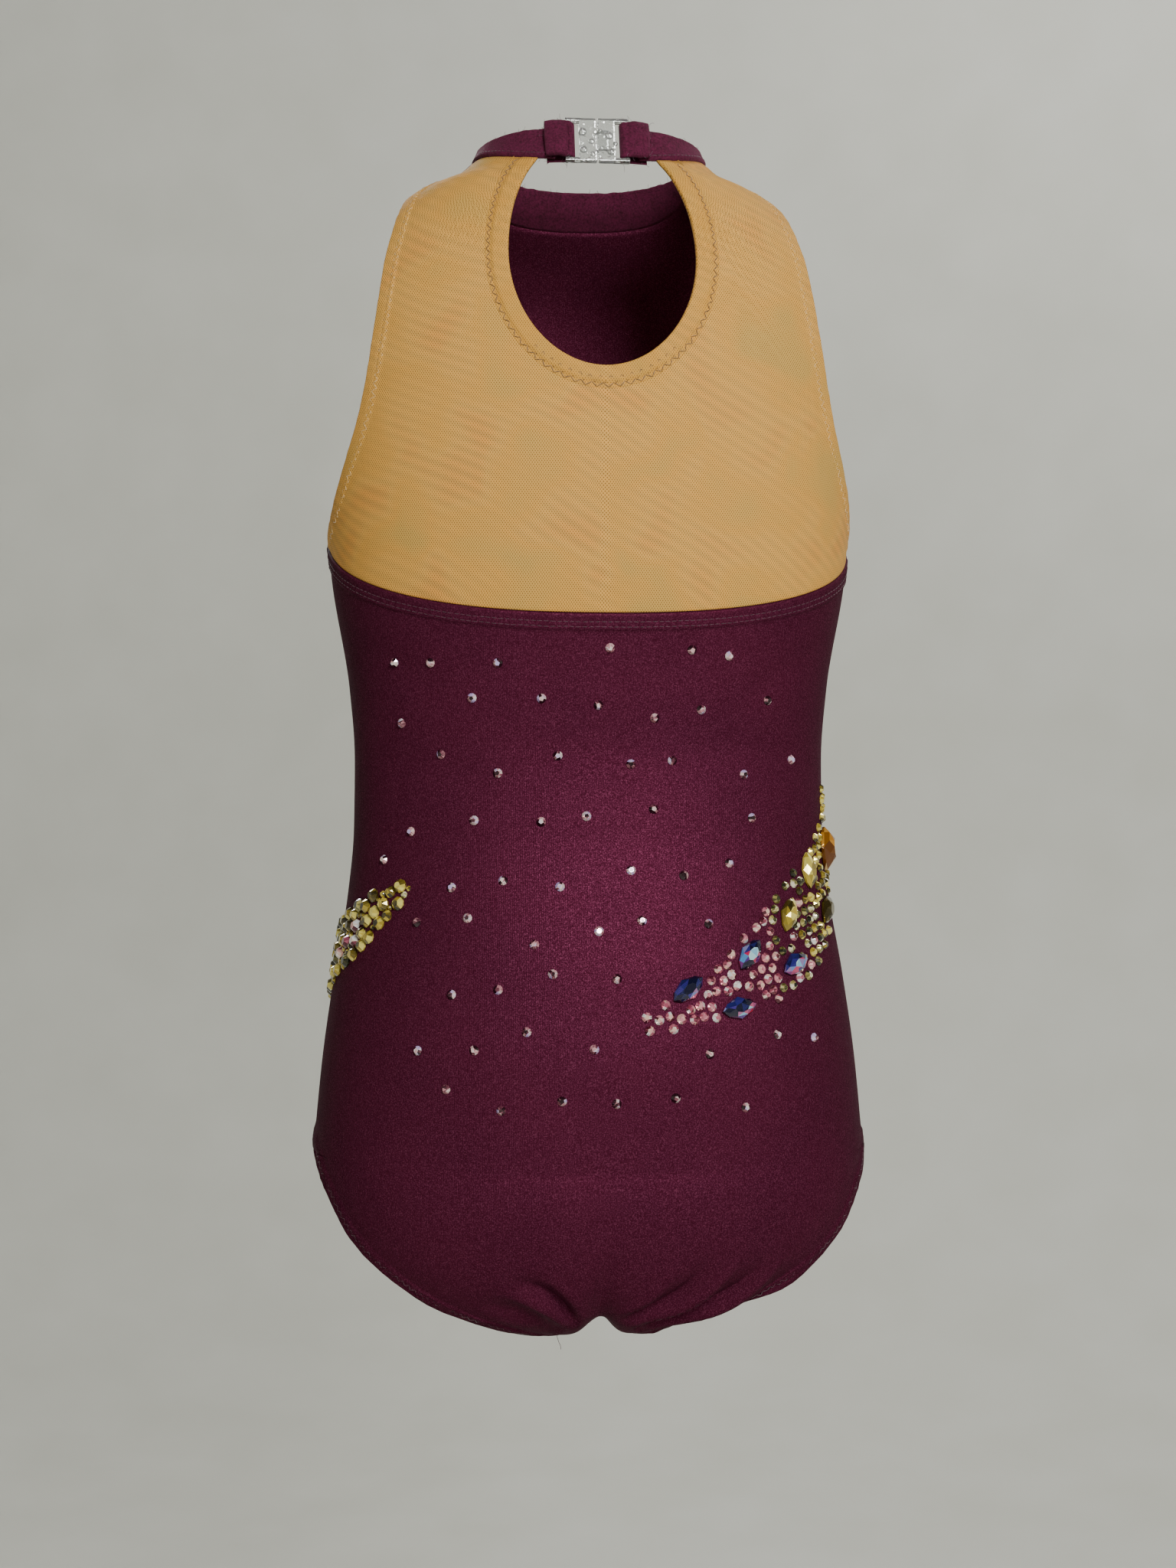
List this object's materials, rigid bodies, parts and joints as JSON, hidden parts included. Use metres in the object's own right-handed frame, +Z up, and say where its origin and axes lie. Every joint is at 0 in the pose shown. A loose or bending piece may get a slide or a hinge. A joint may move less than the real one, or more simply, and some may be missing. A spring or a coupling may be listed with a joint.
{
  "type": "rhythmic gymnastics leotard",
  "caption": "Child's sleeveless gymnastics leotard, worn form and hollow, with a mesh keyhole back, a clasped stand collar and stone trim.",
  "frame": {"origin": "centre of the neck, level with the bottom of the collar, where the wearer holds the garment up", "axes": "+Z up, -Y out of the wearer's back, +X towards the wearer's right"},
  "size_m": [0.2436, 0.1632, 0.5198],
  "materials": {
    "lycra": "smooth shiny warp knit, burgundy",
    "power_mesh": "matt fine net, nude tan",
    "collar_lycra": "burgundy knit, its soft reverse outwards",
    "clear_plastic": "clear moulded plastic, glossy",
    "amber_glass": "faceted glass with a foiled back, amber",
    "gold_glass": "faceted glass with a foiled back, yellow gold",
    "navy_glass": "faceted glass with a coloured coating, dark blue"
  },
  "bodies": {
    "root": {"front_panel": "lycra", "back_panel": "lycra", "back_yoke": "power_mesh", "keyhole_binding": "power_mesh", "collar_band": "collar_lycra", "collar_loop_left": "collar_lycra", "collar_loop_right": "collar_lycra", "clasp_hook": "clear_plastic", "clasp_eye": "clear_plastic", "drop_stone": "amber_glass", "leaf_stone_gold_1": "gold_glass", "leaf_stone_gold_2": "gold_glass", "leaf_stone_gold_3": "gold_glass", "leaf_stone_navy_1": "navy_glass", "leaf_stone_navy_2": "navy_glass", "leaf_stone_navy_3": "navy_glass", "leaf_stone_navy_4": "navy_glass"}
  },
  "joints": []
}
